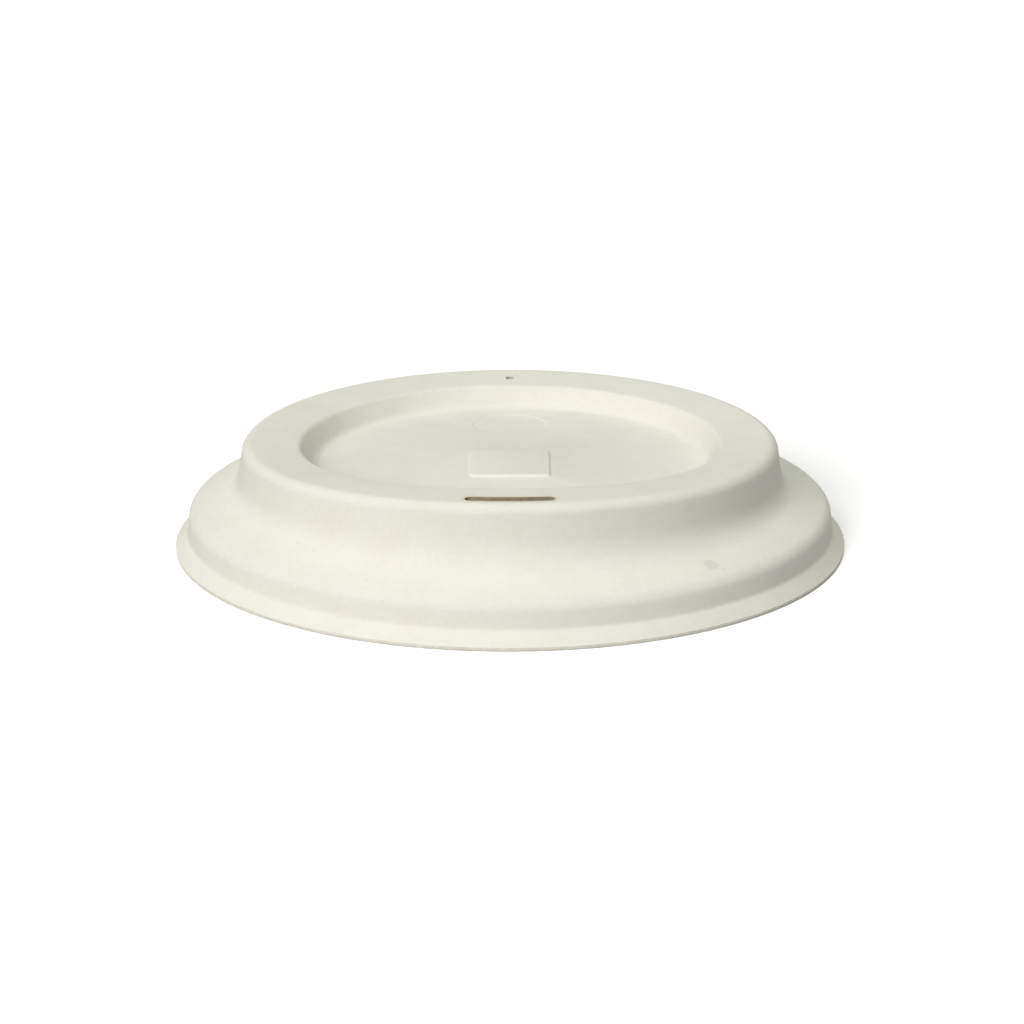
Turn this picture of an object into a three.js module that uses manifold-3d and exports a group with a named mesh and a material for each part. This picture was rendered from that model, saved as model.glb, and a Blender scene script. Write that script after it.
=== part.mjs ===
// Coffee cup lid pressed from moulded fibre: one thin shell with a sip slot and a vent hole.
// Millimetres, +Z up, the origin is the middle of the rim's base plane and the sip side faces -Y.

import * as THREE from 'three';
import { mergeVertices } from 'three/addons/utils/BufferGeometryUtils.js';
import Module from 'manifold-3d';

const wasm = await Module();
wasm.setup();

// The shell
const WALL = 0.6;

// Rim and skirt, which go over the cup
const RIM_DIAMETER = 94;
const RIM_EDGE_HEIGHT = 0.56;
const FLARE_REACH = 1.7;
const FLARE_RISE = 1.9;
const SKIRT_FOOT_FILLET = 0.9;
const SKIRT_NARROWING = 0.35;
const SKIRT_RISE = 3.35;

// Shoulder, which bears on the cup's rolled rim
const SHOULDER_ROUND = 2;
const SHOULDER_WIDTH = 6.7;
const SHOULDER_SLOPE = 2.9;

// Dome wall and the ring on top of it
const DOME_FOOT_FILLET = 2.6;
const DOME_NARROWING = 0.9;
const DOME_RISE = 6.2;
const DOME_EDGE_ROUND = 1.5;
const RING_WIDTH = 7.95;
const RING_FALL = 0.55;

// Recess inside the ring
const RECESS_EDGE_ROUND = 1.1;
const RECESS_NARROWING = 2.1;
const RECESS_DEPTH = 2.75;
const FLOOR_FILLET = 1.6;

// At the sip side the ring is higher, its inner edge the most, and the dome's foot is a wider sweep
const SIP_RISE = 2.1;
const SIP_LEVELLING = 0.6;
const SIP_FOOT_FILLET = 7;
const SIP_FOCUS = 3.5;

// Openings through the ring
const SLOT_LENGTH = 12.1;
const SLOT_WIDTH = 1.7;
const SLOT_INSET = 2.75;
const VENT_DIAMETER = 1.2;
const VENT_INSET = 4.65;

// Shallow reliefs pressed in the floor: a raised panel and a sunk disc
const PANEL_WIDTH = 11.2;
const PANEL_DEPTH = 12;
const PANEL_CORNER = 0.8;
const PANEL_OFFSET = -1.1;
const PANEL_STEP = 0.3;
const DISC_DIAMETER = 10.6;
const DISC_OFFSET = 18.5;
const DISC_STEP = -0.12;

// Fineness of the facets
const TURN_STEPS = 80;
const ARC_STEPS = 3;
const SLOT_STEPS = 12;
const CUT_MARGIN = 1;

// Corners of the outer face's section, worked out from the rim inwards
const rimRadius = RIM_DIAMETER / 2;
const skirtFoot = { r: rimRadius - FLARE_REACH, z: RIM_EDGE_HEIGHT + FLARE_RISE };
const shoulderEdge = { r: skirtFoot.r - SKIRT_NARROWING, z: skirtFoot.z + SKIRT_RISE };
const domeFoot = { r: shoulderEdge.r - SHOULDER_WIDTH, z: shoulderEdge.z + SHOULDER_SLOPE };
const domeEdge = { r: domeFoot.r - DOME_NARROWING, z: domeFoot.z + DOME_RISE };
const recessEdge = { r: domeEdge.r - RING_WIDTH, z: domeEdge.z - RING_FALL };
const floorEdge = { r: recessEdge.r - RECESS_NARROWING, z: recessEdge.z - RECESS_DEPTH };

// The outer face's section at a share of its form at the sip side: none at the back, all of it at the slot
function outerFace(share) {
  const footFillet = DOME_FOOT_FILLET + (SIP_FOOT_FILLET - DOME_FOOT_FILLET) * share;
  const recessRise = (SIP_RISE + SIP_LEVELLING) * share;
  return [
    { r: 0, z: floorEdge.z, round: 0 },
    { ...floorEdge, round: FLOOR_FILLET },
    { r: recessEdge.r, z: recessEdge.z + recessRise, round: RECESS_EDGE_ROUND },
    { r: domeEdge.r, z: domeEdge.z + SIP_RISE * share, round: DOME_EDGE_ROUND },
    { ...domeFoot, round: footFillet },
    { ...shoulderEdge, round: SHOULDER_ROUND },
    { ...skirtFoot, round: SKIRT_FOOT_FILLET },
    { r: rimRadius, z: RIM_EDGE_HEIGHT, round: 0 },
  ];
}

// Direction of the straight stretch from one corner to the next, as an angle from +r towards +z
function heading(from, to) {
  return Math.atan2(to.z - from.z, to.r - from.r);
}

// The inner face follows the outer one at the wall's thickness, with each rounding about the same centre
function innerFaceOf(corners) {
  const inner = corners.map((corner, i) => {
    const before = heading(corners[Math.max(i - 1, 0)], corners[Math.max(i, 1)]);
    const after = i < corners.length - 1 ? heading(corner, corners[i + 1]) : before;
    const bend = after - before;
    const middle = (before + after) / 2;
    const reach = WALL / Math.cos(bend / 2);
    return {
      r: corner.r + Math.sin(middle) * reach,
      z: corner.z - Math.cos(middle) * reach,
      round: corner.round > 0 ? Math.max(corner.round + Math.sign(bend) * WALL, 0) : 0,
    };
  });
  inner[0].r = 0;
  return inner;
}

// Cuts the last straight stretch of the inner face off at the base plane
function endOnBase(corners) {
  const last = corners[corners.length - 1];
  const previous = corners[corners.length - 2];
  const share = previous.z / (previous.z - last.z);
  const foot = { r: previous.r + (last.r - previous.r) * share, z: 0, round: 0 };
  return [...corners.slice(0, -1), foot];
}

// Turns corners into points, with an arc of short steps at each rounded corner
function roundedPoints(corners) {
  const points = [];
  corners.forEach((corner, i) => {
    if (corner.round === 0) {
      points.push(corner);
      return;
    }
    const before = heading(corners[i - 1], corner);
    const bend = heading(corner, corners[i + 1]) - before;
    const side = Math.sign(bend);
    const toTangent = corner.round * Math.tan(Math.abs(bend) / 2);
    const startR = corner.r - Math.cos(before) * toTangent;
    const startZ = corner.z - Math.sin(before) * toTangent;
    const centreR = startR - Math.sin(before) * corner.round * side;
    const centreZ = startZ + Math.cos(before) * corner.round * side;
    for (let k = 0; k <= ARC_STEPS; k += 1) {
      const angle = before + (bend * k) / ARC_STEPS;
      const r = centreR + Math.sin(angle) * corner.round * side;
      const z = centreZ - Math.cos(angle) * corner.round * side;
      points.push({ r, z });
    }
  });
  return points;
}

// Share of the sip side's form at an angle from it: one there, and next to none across the back half
function sipShare(angle) {
  return ((1 + Math.cos(angle)) / 2) ** SIP_FOCUS;
}

// The closed section at a share of the sip side's form, from the inner face round the rim to the outer face
function closedSection(share) {
  const outer = outerFace(share);
  const inner = endOnBase(innerFaceOf(outer));
  return [...roundedPoints(inner), { r: rimRadius, z: 0 }, ...roundedPoints(outer).reverse()];
}

// A geometry as a solid that can be cut and joined
function toSolid(geometry) {
  const bare = geometry.clone();
  bare.deleteAttribute('normal');
  bare.deleteAttribute('uv');
  const merged = mergeVertices(bare, 1e-4);
  const index = merged.index.array;
  const triangles = [];
  for (let i = 0; i < index.length; i += 3) {
    const [a, b, c] = [index[i], index[i + 1], index[i + 2]];
    if (a !== b && b !== c && c !== a) {
      triangles.push(a, b, c);
    }
  }
  const vertProperties = new Float32Array(merged.attributes.position.array);
  const triVerts = new Uint32Array(triangles);
  return new wasm.Manifold(new wasm.Mesh({ numProp: 3, vertProperties, triVerts }));
}

function toGeometry(solid) {
  const mesh = solid.getMesh();
  const geometry = new THREE.BufferGeometry();
  geometry.setAttribute('position', new THREE.BufferAttribute(new Float32Array(mesh.vertProperties), 3));
  geometry.setIndex(new THREE.BufferAttribute(new Uint32Array(mesh.triVerts), 1));
  geometry.computeVertexNormals();
  return geometry;
}

// The shell: a turned body whose section changes with the angle from the sip side
function makeShell() {
  const outline = closedSection(0).map(({ r, z }) => new THREE.Vector2(r, z));
  const geometry = new THREE.LatheGeometry(outline, TURN_STEPS);
  const position = geometry.attributes.position;
  for (let turn = 0; turn <= TURN_STEPS; turn += 1) {
    const angle = (2 * Math.PI * turn) / TURN_STEPS;
    closedSection(sipShare(angle)).forEach(({ r, z }, k) => {
      const at = turn * outline.length + k;
      position.setXYZ(at, r * Math.sin(angle), z, r * Math.cos(angle));
    });
  }
  geometry.rotateX(Math.PI / 2);
  return toSolid(geometry);
}

// A flat outline made into a block between two heights
function makeBlock(shape, low, high, curveSegments) {
  const geometry = new THREE.ExtrudeGeometry(shape, { depth: high - low, bevelEnabled: false, curveSegments });
  geometry.translate(0, 0, low);
  return toSolid(geometry);
}

// Sip slot: a bent slot with round ends that follows the ring
function slotShape() {
  const radius = domeEdge.r - SLOT_INSET;
  const half = SLOT_WIDTH / 2;
  const front = -Math.PI / 2;
  const spread = (SLOT_LENGTH / 2 - half) / radius;
  const endAt = (angle) => [radius * Math.cos(angle), radius * Math.sin(angle)];
  const shape = new THREE.Shape();
  shape.absarc(0, 0, radius + half, front - spread, front + spread, false);
  shape.absarc(...endAt(front + spread), half, front + spread, front + spread + Math.PI, false);
  shape.absarc(0, 0, radius - half, front + spread, front - spread, true);
  shape.absarc(...endAt(front - spread), half, front - spread + Math.PI, front - spread + 2 * Math.PI, false);
  return shape;
}

function ventShape() {
  const shape = new THREE.Shape();
  shape.absarc(0, domeEdge.r - VENT_INSET, VENT_DIAMETER / 2, 0, 2 * Math.PI, false);
  return shape;
}

function panelShape() {
  const x = PANEL_WIDTH / 2;
  const low = PANEL_OFFSET - PANEL_DEPTH / 2;
  const high = PANEL_OFFSET + PANEL_DEPTH / 2;
  const round = PANEL_CORNER;
  const shape = new THREE.Shape();
  shape.absarc(x - round, low + round, round, -Math.PI / 2, 0, false);
  shape.absarc(x - round, high - round, round, 0, Math.PI / 2, false);
  shape.absarc(round - x, high - round, round, Math.PI / 2, Math.PI, false);
  shape.absarc(round - x, low + round, round, Math.PI, 1.5 * Math.PI, false);
  return shape;
}

function discShape() {
  const shape = new THREE.Shape();
  shape.absarc(0, DISC_OFFSET, DISC_DIAMETER / 2, 0, 2 * Math.PI, false);
  return shape;
}

// Presses a flat relief through the floor, so the wall keeps its thickness: up where step is positive
function pressRelief(solid, shape, step, curveSegments) {
  const top = floorEdge.z;
  const under = top - WALL;
  const middle = top - WALL / 2;
  if (step > 0) {
    const raised = makeBlock(shape, middle, top + step, curveSegments);
    const hollow = makeBlock(shape, under - CUT_MARGIN, under + step, curveSegments);
    return solid.add(raised).subtract(hollow);
  }
  const sunk = makeBlock(shape, under + step, middle, curveSegments);
  const dent = makeBlock(shape, top + step, top + CUT_MARGIN, curveSegments);
  return solid.add(sunk).subtract(dent);
}

function makeLid() {
  const below = recessEdge.z - WALL - CUT_MARGIN;
  const above = domeEdge.z + SIP_RISE + SIP_LEVELLING + CUT_MARGIN;
  const slot = makeBlock(slotShape(), below, above, SLOT_STEPS);
  const vent = makeBlock(ventShape(), below, above, SLOT_STEPS);
  let lid = makeShell().subtract(slot).subtract(vent);
  lid = pressRelief(lid, panelShape(), PANEL_STEP, 4);
  lid = pressRelief(lid, discShape(), DISC_STEP, 2 * SLOT_STEPS);

  const pulp = new THREE.MeshStandardMaterial({ color: 0xf0ede2, roughness: 0.92, metalness: 0 });
  const mesh = new THREE.Mesh(toGeometry(lid), pulp);
  mesh.name = 'lid';
  return mesh;
}

const coffeeCupLid = new THREE.Group();
coffeeCupLid.name = 'coffee_cup_lid';
coffeeCupLid.add(makeLid());

export default coffeeCupLid;
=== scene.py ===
"""A coffee cup lid pressed from moulded fibre, standing on a white table in soft studio light."""

import math

import bpy
import numpy as np
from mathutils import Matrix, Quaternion, Vector
from mathutils.geometry import delaunay_2d_cdt


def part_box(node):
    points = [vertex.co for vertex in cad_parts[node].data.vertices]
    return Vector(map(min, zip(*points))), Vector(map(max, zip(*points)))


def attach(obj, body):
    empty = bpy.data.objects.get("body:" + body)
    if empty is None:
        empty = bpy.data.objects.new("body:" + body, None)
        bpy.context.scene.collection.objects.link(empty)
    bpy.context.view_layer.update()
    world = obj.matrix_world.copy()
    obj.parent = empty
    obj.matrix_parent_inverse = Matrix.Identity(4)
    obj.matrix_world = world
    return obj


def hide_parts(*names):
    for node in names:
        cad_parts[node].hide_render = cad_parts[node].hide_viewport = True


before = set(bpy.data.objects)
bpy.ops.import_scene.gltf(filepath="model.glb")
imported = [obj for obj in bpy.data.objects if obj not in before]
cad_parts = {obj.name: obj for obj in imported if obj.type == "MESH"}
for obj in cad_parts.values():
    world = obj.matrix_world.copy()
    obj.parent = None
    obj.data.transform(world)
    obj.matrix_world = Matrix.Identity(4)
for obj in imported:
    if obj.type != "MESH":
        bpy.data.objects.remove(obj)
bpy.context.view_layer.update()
lid_low, lid_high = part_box("lid")

MM = 0.001

# The shell's sizes in millimetres, as in the CAD source
WALL = 0.6
RIM_RADIUS = (lid_high.x - lid_low.x) / 2 / MM
RIM_EDGE_HEIGHT = 0.56
FLARE_REACH = 1.7
FLARE_RISE = 1.9
SKIRT_FOOT_FILLET = 0.9
SKIRT_NARROWING = 0.35
SKIRT_RISE = 3.35
SHOULDER_ROUND = 2.0
SHOULDER_WIDTH = 6.7
SHOULDER_SLOPE = 2.9
DOME_FOOT_FILLET = 2.6
DOME_NARROWING = 0.9
DOME_RISE = 6.2
DOME_EDGE_ROUND = 1.5
RING_WIDTH = 7.95
RING_FALL = 0.55
RECESS_EDGE_ROUND = 1.1
RECESS_NARROWING = 2.1
RECESS_DEPTH = 2.75
FLOOR_FILLET = 1.6
SIP_RISE = 2.1
SIP_LEVELLING = 0.6
SIP_FOOT_FILLET = 7.0
SIP_FOCUS = 3.5
SLOT_LENGTH = 12.1
SLOT_WIDTH = 1.7
SLOT_INSET = 2.75
VENT_DIAMETER = 1.2
VENT_INSET = 4.65
PANEL_WIDTH = 11.2
PANEL_DEPTH = 12.0
PANEL_CORNER = 0.8
PANEL_OFFSET = -1.1
PANEL_STEP = 0.3
DISC_DIAMETER = 10.6
DISC_OFFSET = 18.5
DISC_STEP = -0.12

# Fineness of the mesh
TURN_STEPS = 400
ARC_STEPS = 10
STRAIGHT_STEPS = 6
RIM_EDGE_STEPS = 8
HOLE_STEPS = 24
CORNER_STEPS = 6
DISC_STEPS = 96
WELD_REACH = 0.002
SHARP_ANGLE = math.radians(35)

# Width of the soft steps round the panel and disc, and the places of their loops as shares of it
STEP_BLEND = 0.5
STEP_LOOPS = (-0.5, -0.34, -0.17, 0.0, 0.17, 0.34, 0.5)

# Places of the finishes in the lid's list of materials
FELT = 0
SCREEN = 1
TRIMMED = 2
SCORCHED = 3

# Colours are linear, depths and widths are in millimetres, and a scale is in cells to the metre
WHITE = (1, 1, 1, 1)
PULP_PALE = (0.845, 0.838, 0.757, 1)
PULP_DEEP = (0.826, 0.818, 0.735, 1)
PULP_FIBRE = (0.972, 0.97, 0.965, 1)
PULP_SPECULAR = 0.2
CLOUD_SCALE = 180.0
GRAIN_SCALE = 1500.0
WAVE_SCALE = 90.0
WAVE_DEPTH = 0.25
FIBRE_SCALE = 2400.0
FIBRE_DEPTH = 0.026
SHEEN_SCALE = 600.0
FELT_ROUGHNESS = (0.86, 0.96)
SPECK_SCALE = 420.0
SPECK_RARITY = 0.93
SPECK_SHARE = 0.35
SPECK_COLOUR = (0.62, 0.58, 0.48, 1)

# Spots as (place, radius, strength), each of which fades out between two shares of its radius
SPOTS = (
    ((26.8, -32.3, 7.1), 1.15, 0.55),
    ((33.0, -29.7, 6.1), 0.8, 0.22),
)
SPOT_FADE = (0.7, 1.15)
SPOT_COLOUR = (0.66, 0.65, 0.61, 1)

# Finishes of the slot's fringe, the inner face, the trimmed edges and the scorched edge
FRINGE_COLOUR = (0.7, 0.55, 0.34, 1)
FRINGE_WIDTH = 0.8
FRINGE_SHARE = 0.5
SCREEN_SCALE = 620.0
SCREEN_WOBBLE = 0.3
SCREEN_DEPTH = 0.03
SCREEN_HOLLOW = (0.76, 0.74, 0.66, 1)
SCREEN_ROUGHNESS = 0.95
# The trimmed edges' colours are darker than the pulp, partly for the cut fibre and partly as painted shade
# of the rim's shaded edge
TRIM_PALE_WITH_SHADE = (0.82, 0.81, 0.73, 1)
TRIM_DEEP_WITH_SHADE = (0.72, 0.7, 0.62, 1)
TRIM_ROUGHNESS = 0.97
FRAY_SCALE = 1200.0
FRAY_DEPTH = 0.06
SCORCH_PALE = (0.53, 0.475, 0.35, 1)
SCORCH_DEEP = (0.39, 0.34, 0.235, 1)
SCORCH_ROUGHNESS = 0.9
SOOT_SCALE = 1600.0
SOOT_DEPTH = 0.05

# Lamps as (name, azimuth, elevation, strength, spread, colour), with their angles in degrees
LAMPS = (
    ("key", -33, 30, 2.0, 30, (1.0, 0.967, 0.965)),
    ("overhead", 0, 89, 1.6, 30, (0.92, 0.94, 0.92)),
    ("back_fill", 100, 50, 0.2, 30, (1.0, 1.0, 0.9)),
)
WORLD_LEVEL = 0.01

# White of the table as the camera sees it and as the lid does, and half of its side in metres
TABLE_SEEN = 1.3
TABLE_FELT = 0.8
TABLE_HALF = 4.0

# Camera, fitted to the photograph, with its distances in metres
CAMERA_DISTANCE = 0.6
CAMERA_NEAR = 0.05
CAMERA_ELEVATION = math.radians(18.03)
CAMERA_ROLL = math.radians(0.13)
PIXELS_PER_MM = 7.088
IMAGE_SIZE = 1024
ORIGIN_PIXEL = (510.1, 540.7)
SENSOR_WIDTH = 36.0


def skirt_foot():
    return RIM_RADIUS - FLARE_REACH, RIM_EDGE_HEIGHT + FLARE_RISE


def shoulder_edge():
    r, z = skirt_foot()
    return r - SKIRT_NARROWING, z + SKIRT_RISE


def dome_foot():
    r, z = shoulder_edge()
    return r - SHOULDER_WIDTH, z + SHOULDER_SLOPE


def dome_edge():
    r, z = dome_foot()
    return r - DOME_NARROWING, z + DOME_RISE


def recess_edge():
    r, z = dome_edge()
    return r - RING_WIDTH, z - RING_FALL


def floor_edge():
    r, z = recess_edge()
    return r - RECESS_NARROWING, z - RECESS_DEPTH


FLOOR_HEIGHT = floor_edge()[1]


def outer_corners(share):
    """Corners of the outer face's section as (r, z, rounding), at a share of its form at the sip side."""
    recess_r, recess_z = recess_edge()
    dome_r, dome_z = dome_edge()
    return [
        (0.0, FLOOR_HEIGHT, 0.0),
        (*floor_edge(), FLOOR_FILLET),
        (recess_r, recess_z + (SIP_RISE + SIP_LEVELLING) * share, RECESS_EDGE_ROUND),
        (dome_r, dome_z + SIP_RISE * share, DOME_EDGE_ROUND),
        (*dome_foot(), DOME_FOOT_FILLET + (SIP_FOOT_FILLET - DOME_FOOT_FILLET) * share),
        (*shoulder_edge(), SHOULDER_ROUND),
        (*skirt_foot(), SKIRT_FOOT_FILLET),
        (RIM_RADIUS, RIM_EDGE_HEIGHT, 0.0),
    ]


def heading(start, end):
    return math.atan2(end[1] - start[1], end[0] - start[0])


def inner_corners(corners):
    """The inner face's corners: the outer ones moved in by the wall, cut off at the base plane."""
    inner = []
    last = len(corners) - 1
    for i, (r, z, rounding) in enumerate(corners):
        before = heading(corners[max(i - 1, 0)], corners[max(i, 1)])
        after = heading(corners[i], corners[i + 1]) if i < last else before
        bend = after - before
        middle = (before + after) / 2
        reach = WALL / math.cos(bend / 2)
        turned = max(rounding + math.copysign(WALL, bend), 0.0) if rounding > 0 else 0.0
        inner.append((r + math.sin(middle) * reach, z - math.cos(middle) * reach, turned))
    inner[0] = (0.0, *inner[0][1:])
    r0, z0 = inner[-2][:2]
    r1, z1 = inner[-1][:2]
    share = z0 / (z0 - z1)
    inner[-1] = (r0 + (r1 - r0) * share, 0.0, 0.0)
    return inner


def rounded_points(corners):
    """Points (r, z) of a section, with an arc at each rounded corner and even steps between the arcs."""
    points = []
    for i, (r, z, rounding) in enumerate(corners):
        if i > 0:
            before = heading(corners[i - 1], corners[i])
        if rounding == 0:
            arc = [(r, z)]
        else:
            bend = heading(corners[i], corners[i + 1]) - before
            side = math.copysign(1, bend)
            to_tangent = rounding * math.tan(abs(bend) / 2)
            centre_r = r - math.cos(before) * to_tangent - math.sin(before) * rounding * side
            centre_z = z - math.sin(before) * to_tangent + math.cos(before) * rounding * side
            angles = [before + bend * k / ARC_STEPS for k in range(ARC_STEPS + 1)]
            arc = [(centre_r + math.sin(a) * rounding * side, centre_z - math.cos(a) * rounding * side)
                   for a in angles]
        if i > 0:
            from_r, from_z = points[-1]
            for k in range(1, STRAIGHT_STEPS):
                part = k / STRAIGHT_STEPS
                points.append((from_r + (arc[0][0] - from_r) * part, from_z + (arc[0][1] - from_z) * part))
        points.extend(arc)
    return points


def sip_share(angle):
    """Share of the sip side's form at an angle from it."""
    return ((1 + math.cos(angle)) / 2) ** SIP_FOCUS


def outer_section(share):
    """The outer face's section, from the edge of the flat floor to the rim."""
    return rounded_points(outer_corners(share))[STRAIGHT_STEPS:]


def inner_section(share):
    return rounded_points(inner_corners(outer_corners(share)))[STRAIGHT_STEPS:]


def turned_band(section_at, flipped):
    """Vertices and faces of a band turned about +Z, whose section changes from the sip side to the back."""
    angles = [2 * math.pi * k / TURN_STEPS for k in range(TURN_STEPS)]
    sections = np.array([section_at(sip_share(a)) for a in angles])
    r, z = sections[:, :, 0], sections[:, :, 1]
    x = r * np.sin(angles)[:, None]
    y = -r * np.cos(angles)[:, None]
    vertices = np.stack([x, y, z], axis=2).reshape(-1, 3)
    faces = []
    count = sections.shape[1]
    for turn in range(TURN_STEPS):
        here = turn * count
        there = (turn + 1) % TURN_STEPS * count
        for k in range(count - 1):
            face = (here + k, here + k + 1, there + k + 1, there + k)
            faces.append(face[::-1] if flipped else face)
    return vertices, faces


def panel_outline(grow):
    """Rounded rectangle of the panel, grown outwards by a distance, as a closed loop of points."""
    half_x = PANEL_WIDTH / 2 + grow
    half_y = PANEL_DEPTH / 2 + grow
    corner = PANEL_CORNER + grow
    loop = []
    for quarter in range(4):
        centre_x = (half_x - corner) * (1 if quarter in (0, 3) else -1)
        centre_y = (half_y - corner) * (1 if quarter in (0, 1) else -1)
        for k in range(CORNER_STEPS + 1):
            angle = (quarter + k / CORNER_STEPS) * math.pi / 2
            loop.append((centre_x + corner * math.cos(angle),
                         PANEL_OFFSET + centre_y + corner * math.sin(angle)))
    return loop


def disc_outline(grow):
    radius = DISC_DIAMETER / 2 + grow
    angles = [2 * math.pi * k / DISC_STEPS for k in range(DISC_STEPS)]
    return [(radius * math.cos(a), DISC_OFFSET + radius * math.sin(a)) for a in angles]


def step_share(offset):
    """How much of a relief's step is reached at an offset from its outline, as a share of the blend."""
    t = min(max(0.5 - offset, 0.0), 1.0)
    return t * t * (3 - 2 * t)


def floor_patch(section_at, height, flipped):
    """The floor inside the turned band's first points, with its two reliefs as soft steps."""
    points = []
    heights = []
    edges = []

    def add_loop(loop, loop_height):
        first = len(points)
        points.extend(Vector(p) for p in loop)
        heights.extend([loop_height] * len(loop))
        edges.extend((first + k, first + (k + 1) % len(loop)) for k in range(len(loop)))

    edge = []
    for k in range(TURN_STEPS):
        angle = 2 * math.pi * k / TURN_STEPS
        r = section_at(sip_share(angle))[0][0]
        edge.append((r * math.sin(angle), -r * math.cos(angle)))
    add_loop(edge, height)
    for offset in STEP_LOOPS:
        share = step_share(offset)
        add_loop(panel_outline(offset * STEP_BLEND), height + PANEL_STEP * share)
        add_loop(disc_outline(offset * STEP_BLEND), height + DISC_STEP * share)
    flat, _, faces, origin, _, _ = delaunay_2d_cdt(points, edges, [], 0, 1e-6)
    vertices = [(p.x, p.y, heights[origin[i][0]]) for i, p in enumerate(flat)]
    faces = [tuple(f[::-1]) if flipped else tuple(f) for f in faces]
    return np.array(vertices), faces


def mesh_object(name, parts, materials):
    """One object from several (vertices, faces, finish) parts in millimetres, welded where they meet."""
    vertices = []
    faces = []
    finishes = []
    for part_vertices, part_faces, finish in parts:
        base = len(vertices)
        vertices.extend(tuple(v) for v in np.asarray(part_vertices) * MM)
        faces.extend(tuple(i + base for i in face) for face in part_faces)
        finishes.extend([finish] * len(part_faces))
    mesh = bpy.data.meshes.new(name)
    mesh.from_pydata(vertices, [], faces)
    for material in materials:
        mesh.materials.append(material)
    mesh.polygons.foreach_set("material_index", finishes)
    piece = bpy.data.objects.new(name, mesh)
    bpy.context.scene.collection.objects.link(piece)
    weld = piece.modifiers.new("weld", "WELD")
    weld.merge_threshold = WELD_REACH * MM
    apply_modifiers(piece)
    return piece


def apply_modifiers(piece):
    """Bakes the modifiers of a piece into its mesh."""
    bpy.context.view_layer.update()
    evaluated = piece.evaluated_get(bpy.context.evaluated_depsgraph_get())
    mesh = bpy.data.meshes.new_from_object(evaluated)
    piece.modifiers.clear()
    old = piece.data
    piece.data = mesh
    bpy.data.meshes.remove(old)


def slot_outline():
    """Bent slot with round ends that follows the ring, as a closed loop."""
    radius = dome_edge()[0] - SLOT_INSET
    half = SLOT_WIDTH / 2
    front = -math.pi / 2
    spread = (SLOT_LENGTH / 2 - half) / radius
    loop = []
    for k in range(HOLE_STEPS + 1):
        angle = front - spread + 2 * spread * k / HOLE_STEPS
        loop.append(((radius + half) * math.cos(angle), (radius + half) * math.sin(angle)))
    for k in range(1, HOLE_STEPS):
        angle = front + spread + math.pi * k / HOLE_STEPS
        loop.append((radius * math.cos(front + spread) + half * math.cos(angle),
                     radius * math.sin(front + spread) + half * math.sin(angle)))
    for k in range(HOLE_STEPS + 1):
        angle = front + spread - 2 * spread * k / HOLE_STEPS
        loop.append(((radius - half) * math.cos(angle), (radius - half) * math.sin(angle)))
    for k in range(1, HOLE_STEPS):
        angle = front - spread + math.pi + math.pi * k / HOLE_STEPS
        loop.append((radius * math.cos(front - spread) + half * math.cos(angle),
                     radius * math.sin(front - spread) + half * math.sin(angle)))
    return loop


def vent_outline():
    centre = dome_edge()[0] - VENT_INSET
    radius = VENT_DIAMETER / 2
    angles = [2 * math.pi * k / HOLE_STEPS for k in range(HOLE_STEPS)]
    return [(radius * math.cos(a), centre + radius * math.sin(a)) for a in angles]


def block_between(loop, low, high):
    """Closed block over a counter-clockwise outline, between two heights."""
    count = len(loop)
    vertices = [(x, y, low) for x, y in loop] + [(x, y, high) for x, y in loop]
    faces = [tuple(range(count))[::-1], tuple(range(count, 2 * count))]
    for k in range(count):
        following = (k + 1) % count
        faces.append((k, following, count + following, count + k))
    return vertices, faces


def cut_openings(lid, materials):
    """Cuts the sip slot and the vent hole through the ring."""
    low = recess_edge()[1] - 3 * WALL
    high = dome_edge()[1] + SIP_RISE + SIP_LEVELLING + WALL
    openings = (("slot_cutter", slot_outline(), SCORCHED), ("vent_cutter", vent_outline(), TRIMMED))
    for name, loop, finish in openings:
        cutter = mesh_object(name, [(*block_between(loop, low, high), finish)], materials)
        cut = lid.modifiers.new(name, "BOOLEAN")
        cut.operation = "DIFFERENCE"
        cut.solver = "EXACT"
        cut.object = cutter
        apply_modifiers(lid)
        bpy.data.objects.remove(cutter)


def rim_edge_section(share):
    """The trimmed edge of the rim, which rolls under from the outer face to the inner face's foot."""
    foot = inner_section(share)[-1][0]
    points = []
    for k in range(RIM_EDGE_STEPS + 1):
        angle = math.pi / 2 * k / RIM_EDGE_STEPS
        r = foot + (RIM_RADIUS - foot) * math.cos(angle)
        points.append((r, RIM_EDGE_HEIGHT * (1 - math.sin(angle))))
    return points


def make_lid(materials):
    parts = [
        (*turned_band(outer_section, False), FELT),
        (*turned_band(rim_edge_section, False), TRIMMED),
        (*turned_band(inner_section, True), SCREEN),
        (*floor_patch(outer_section, FLOOR_HEIGHT, False), FELT),
        (*floor_patch(inner_section, FLOOR_HEIGHT - WALL, True), SCREEN),
    ]
    lid = mesh_object("lid_shell", parts, materials)
    cut_openings(lid, materials)
    lid.data.shade_smooth()
    lid.data.set_sharp_from_angle(angle=SHARP_ANGLE)
    return lid


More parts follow.
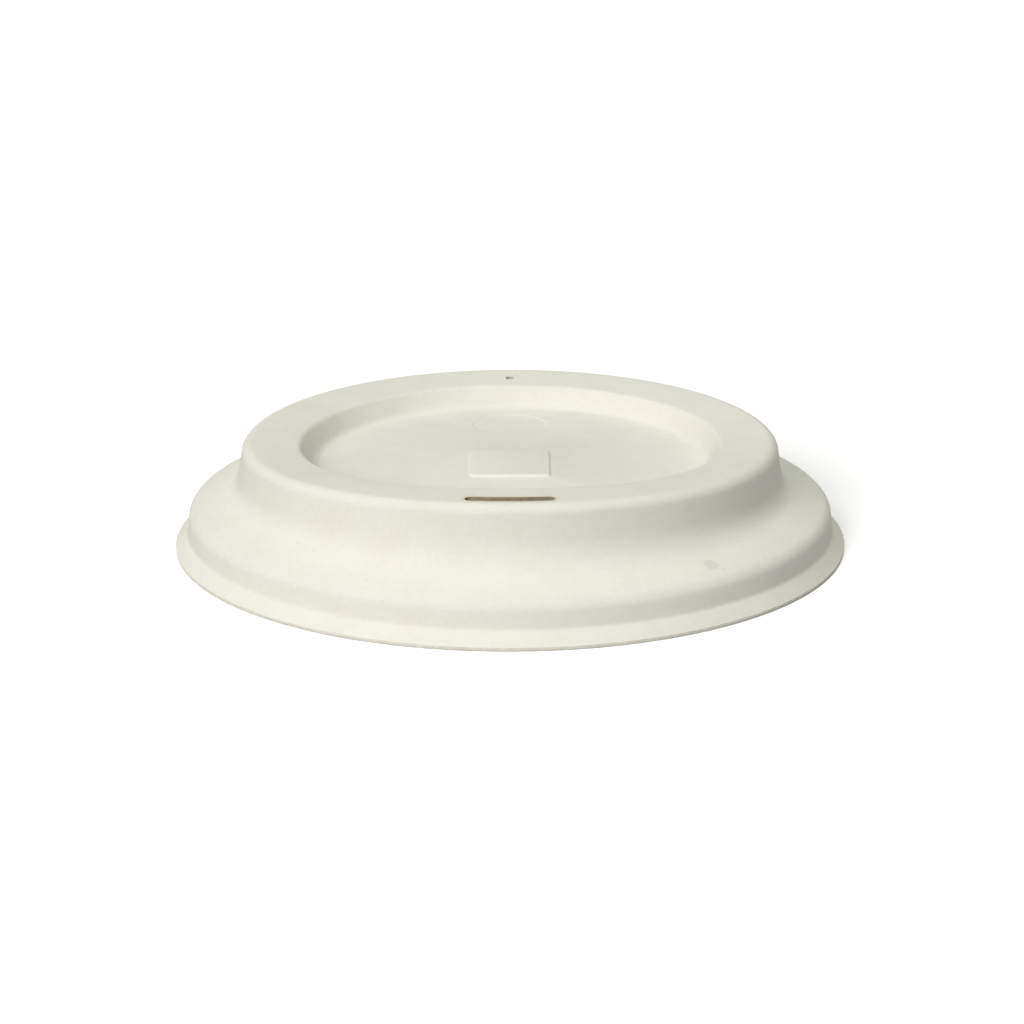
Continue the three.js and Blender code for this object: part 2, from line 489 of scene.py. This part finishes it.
class Shading:
    """A new node material, with short ways to add and join its nodes."""

    def __init__(self, name):
        self.material = bpy.data.materials.new(name)
        self.material.use_nodes = True
        self.tree = self.material.node_tree
        self.shader = self.tree.nodes["Principled BSDF"]

    def node(self, kind, values=(), **settings):
        """A node with its settings, and its sockets set or joined from (socket, value) pairs."""
        made = self.tree.nodes.new(kind)
        for key, value in settings.items():
            setattr(made, key, value)
        for socket, value in values:
            if isinstance(value, bpy.types.NodeSocket):
                self.tree.links.new(value, made.inputs[socket])
            else:
                made.inputs[socket].default_value = value
        return made.outputs

    def place(self):
        return self.node("ShaderNodeTexCoord")["Object"]

    def math(self, operation, *values):
        return self.node("ShaderNodeMath", enumerate(values), operation=operation)[0]

    def noise(self, place, scale, detail=3.0, roughness=0.5):
        values = [("Vector", place), ("Scale", scale), ("Detail", detail), ("Roughness", roughness)]
        return self.node("ShaderNodeTexNoise", values)[0]

    def spread(self, value, low, high, out_low, out_high):
        """A value carried smoothly from one range to another, and held at its ends."""
        values = [(0, value), (1, low), (2, high), (3, out_low), (4, out_high)]
        return self.node("ShaderNodeMapRange", values, interpolation_type="SMOOTHSTEP")[0]

    def blend(self, share, first, second, way="MIX"):
        """A colour between two colours, or one mixed from both in another way."""
        values = [(0, share), (6, first), (7, second)]
        return self.node("ShaderNodeMix", values, data_type="RGBA", blend_type=way)[2]

    def bump(self, height, distance, normal=None):
        values = [("Height", height), ("Distance", distance), ("Strength", 1.0)]
        if normal is not None:
            values.append(("Normal", normal))
        return self.node("ShaderNodeBump", values)[0]

    def finish(self, colour, normal, roughness, specular):
        self.tree.links.new(colour, self.shader.inputs["Base Color"])
        self.tree.links.new(normal, self.shader.inputs["Normal"])
        if isinstance(roughness, bpy.types.NodeSocket):
            self.tree.links.new(roughness, self.shader.inputs["Roughness"])
        else:
            self.shader.inputs["Roughness"].default_value = roughness
        self.shader.inputs["Specular IOR Level"].default_value = specular
        return self.material


def grained(shading, place, colour):
    """A colour broken up by the fine grain of the fibres."""
    grain = shading.spread(shading.noise(place, GRAIN_SCALE, 4.0, 0.7), 0.35, 0.65, 0.0, 1.0)
    return shading.blend(1.0, colour, shading.blend(grain, PULP_FIBRE, WHITE), "MULTIPLY")


def pulp_colour(shading, place):
    """Off-white with soft clouds of fibre and a few faint specks."""
    clouds = shading.spread(shading.noise(place, CLOUD_SCALE), 0.3, 0.7, 0.0, 1.0)
    colour = grained(shading, place, shading.blend(clouds, PULP_DEEP, PULP_PALE))
    cell = shading.node("ShaderNodeTexVoronoi", [("Vector", place), ("Scale", SPECK_SCALE)])
    chance = shading.node("ShaderNodeSeparateColor", [(0, cell["Color"])])[0]
    rare = shading.math("GREATER_THAN", chance, SPECK_RARITY)
    speck = shading.math("MULTIPLY", shading.spread(cell["Distance"], 0.05, 0.16, 1.0, 0.0), rare)
    return shading.blend(shading.math("MULTIPLY", speck, SPECK_SHARE), colour, SPECK_COLOUR)


def pulp_relief(shading, place):
    """Gentle waves of the pressed sheet, with a fine felt of fibres on it."""
    waves = shading.bump(shading.noise(place, WAVE_SCALE, 2.0), WAVE_DEPTH * MM)
    return shading.bump(shading.noise(place, FIBRE_SCALE, 5.0, 0.65), FIBRE_DEPTH * MM, normal=waves)


def slot_distance(shading, place):
    """Distance from the sip slot's edge over the ring, in metres."""
    radius = dome_edge()[0] - SLOT_INSET
    half = SLOT_WIDTH / 2
    reach = radius * math.sin((SLOT_LENGTH / 2 - half) / radius)
    x, y, _ = shading.node("ShaderNodeSeparateXYZ", [(0, place)])
    near = shading.math("MINIMUM", shading.math("MAXIMUM", x, -reach * MM), reach * MM)
    square = shading.math("SUBTRACT", (radius * MM) ** 2, shading.math("MULTIPLY", near, near))
    along = shading.math("SUBTRACT", x, near)
    across = shading.math("ADD", y, shading.math("SQRT", square))
    length = shading.math("SQRT", shading.math(
        "ADD", shading.math("MULTIPLY", along, along), shading.math("MULTIPLY", across, across)))
    return shading.math("SUBTRACT", length, half * MM)


def spot_share(shading, place):
    """Strength of the faint round spots on the shoulder."""
    total = None
    for centre, radius, strength in SPOTS:
        values = [(0, place), (1, tuple(c * MM for c in centre))]
        away = shading.node("ShaderNodeVectorMath", values, operation="DISTANCE")["Value"]
        core, edge = (radius * share * MM for share in SPOT_FADE)
        share = shading.spread(away, core, edge, strength, 0.0)
        total = share if total is None else shading.math("MAXIMUM", total, share)
    return total


def felt_material():
    """The smooth outer face: felted fibre, with a warm fringe round the slot."""
    shading = Shading("moulded_fibre")
    place = shading.place()
    colour = pulp_colour(shading, place)
    colour = shading.blend(spot_share(shading, place), colour, SPOT_COLOUR)
    fringe = shading.spread(slot_distance(shading, place), 0.0, FRINGE_WIDTH * MM, FRINGE_SHARE, 0.0)
    colour = shading.blend(fringe, colour, FRINGE_COLOUR)
    roughness = shading.spread(shading.noise(place, SHEEN_SCALE), 0.3, 0.7, *FELT_ROUGHNESS)
    return shading.finish(colour, pulp_relief(shading, place), roughness, PULP_SPECULAR)


def screen_material():
    """The inner face, which keeps the fine square print of the forming screen."""
    shading = Shading("moulded_fibre_screen_side")
    place = shading.place()
    ridges = None
    for direction in ("X", "Y", "Z"):
        values = [("Vector", place), ("Scale", SCREEN_SCALE), ("Distortion", SCREEN_WOBBLE)]
        wave = shading.node("ShaderNodeTexWave", values, bands_direction=direction)["Fac"]
        ridges = wave if ridges is None else shading.math("ADD", ridges, wave)
    colour = shading.blend(shading.spread(ridges, 0.5, 2.5, 0.0, 1.0), SCREEN_HOLLOW, PULP_PALE)
    printed = shading.bump(ridges, SCREEN_DEPTH * MM, normal=pulp_relief(shading, place))
    return shading.finish(grained(shading, place, colour), printed, SCREEN_ROUGHNESS, PULP_SPECULAR)


def trimmed_and_shaded_material():
    """The trimmed edge of the rim and the punched edge of the vent: rougher, and a little darker in colour,
    partly from the cut fibre and partly as painted shade of the rim's shaded edge.
    """
    shading = Shading("moulded_fibre_trimmed_edge_painted_shade")
    place = shading.place()
    fray = shading.noise(place, FRAY_SCALE, 5.0, 0.7)
    colour = shading.blend(shading.spread(fray, 0.3, 0.7, 0.0, 1.0), TRIM_DEEP_WITH_SHADE, TRIM_PALE_WITH_SHADE)
    return shading.finish(colour, shading.bump(fray, FRAY_DEPTH * MM), TRIM_ROUGHNESS, PULP_SPECULAR)


def scorched_material():
    """The slot's edge, burnt brown, with uneven soot."""
    shading = Shading("moulded_fibre_scorched_edge")
    place = shading.place()
    soot = shading.noise(place, SOOT_SCALE, 4.0, 0.6)
    colour = shading.blend(shading.spread(soot, 0.3, 0.75, 0.0, 1.0), SCORCH_DEEP, SCORCH_PALE)
    return shading.finish(colour, shading.bump(soot, SOOT_DEPTH * MM), SCORCH_ROUGHNESS, PULP_SPECULAR)


def camera_like_rays(nodes, links):
    """One for rays of the camera, of gloss and of transmission, and zero for all others."""
    path = nodes.new("ShaderNodeLightPath")
    total = path.outputs["Is Camera Ray"]
    for name in ("Is Glossy Ray", "Is Transmission Ray"):
        larger = nodes.new("ShaderNodeMath")
        larger.operation = "MAXIMUM"
        links.new(total, larger.inputs[0])
        links.new(path.outputs[name], larger.inputs[1])
        total = larger.outputs[0]
    return total


def table_material():
    """White to the camera with the lid's shadow on it, and plain pale to every other ray."""
    material = bpy.data.materials.new("table")
    material.use_nodes = True
    nodes = material.node_tree.nodes
    links = material.node_tree.links
    nodes.clear()
    output = nodes.new("ShaderNodeOutputMaterial")
    seen = nodes.new("ShaderNodeBsdfDiffuse")
    seen.inputs["Color"].default_value = (TABLE_SEEN, TABLE_SEEN, TABLE_SEEN, 1)
    other = nodes.new("ShaderNodeBsdfDiffuse")
    other.inputs["Color"].default_value = (TABLE_FELT, TABLE_FELT, TABLE_FELT, 1)
    mix = nodes.new("ShaderNodeMixShader")
    links.new(camera_like_rays(nodes, links), mix.inputs[0])
    links.new(other.outputs[0], mix.inputs[1])
    links.new(seen.outputs[0], mix.inputs[2])
    links.new(mix.outputs[0], output.inputs["Surface"])
    return material


def make_table():
    mesh = bpy.data.meshes.new("table")
    sides = ((-1, -1), (1, -1), (1, 1), (-1, 1))
    corners = [(x * TABLE_HALF, y * TABLE_HALF, 0) for x, y in sides]
    mesh.from_pydata(corners, [], [(0, 1, 2, 3)])
    mesh.materials.append(table_material())
    table = bpy.data.objects.new("table", mesh)
    bpy.context.scene.collection.objects.link(table)


def add_sun(name, azimuth, elevation, strength, spread, colour):
    """A soft far lamp. Azimuth 0 is in front of the sip side, and positive is to the right."""
    lamp = bpy.data.lights.new(name, "SUN")
    lamp.energy = strength
    lamp.angle = math.radians(spread)
    lamp.color = colour
    sun = bpy.data.objects.new(name, lamp)
    turn = math.radians(azimuth)
    rise = math.radians(elevation)
    flat = math.cos(rise)
    towards = Vector((math.sin(turn) * flat, -math.cos(turn) * flat, math.sin(rise)))
    sun.rotation_mode = "QUATERNION"
    sun.rotation_quaternion = towards.to_track_quat("Z", "Y")
    bpy.context.scene.collection.objects.link(sun)


def light_scene():
    """A large soft light from the front left, one overhead, and a weak fill from behind."""
    for lamp in LAMPS:
        add_sun(*lamp)
    world = bpy.data.worlds.new("studio")
    world.use_nodes = True
    bpy.context.scene.world = world
    nodes = world.node_tree.nodes
    links = world.node_tree.links
    background = nodes["Background"]
    background.inputs["Color"].default_value = WHITE
    level = nodes.new("ShaderNodeMapRange")
    level.inputs["To Min"].default_value = WORLD_LEVEL
    level.inputs["To Max"].default_value = 1.0
    links.new(camera_like_rays(nodes, links), level.inputs["Value"])
    links.new(level.outputs["Result"], background.inputs["Strength"])


def make_camera():
    """Looks at the lid from the front, as the photograph does."""
    focal_pixels = PIXELS_PER_MM * CAMERA_DISTANCE / MM
    camera_data = bpy.data.cameras.new("camera")
    camera_data.sensor_width = SENSOR_WIDTH
    camera_data.lens = focal_pixels / IMAGE_SIZE * SENSOR_WIDTH
    camera_data.clip_start = CAMERA_NEAR
    camera = bpy.data.objects.new("camera", camera_data)
    bpy.context.scene.collection.objects.link(camera)
    bpy.context.scene.camera = camera
    back = Vector((0, -math.cos(CAMERA_ELEVATION), math.sin(CAMERA_ELEVATION)))
    camera.location = back * CAMERA_DISTANCE
    camera.rotation_mode = "QUATERNION"
    facing = (-back).to_track_quat("-Z", "Y")
    camera.rotation_quaternion = facing @ Quaternion((0, 0, 1), -CAMERA_ROLL)
    camera_data.shift_x = (IMAGE_SIZE / 2 - ORIGIN_PIXEL[0]) / IMAGE_SIZE
    camera_data.shift_y = (ORIGIN_PIXEL[1] - IMAGE_SIZE / 2) / IMAGE_SIZE


bpy.context.scene.view_settings.view_transform = "Standard"
make_camera()
lid_piece = make_lid([felt_material(), screen_material(), trimmed_and_shaded_material(), scorched_material()])
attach(lid_piece, "root")
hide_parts("lid")
make_table()
light_scene()
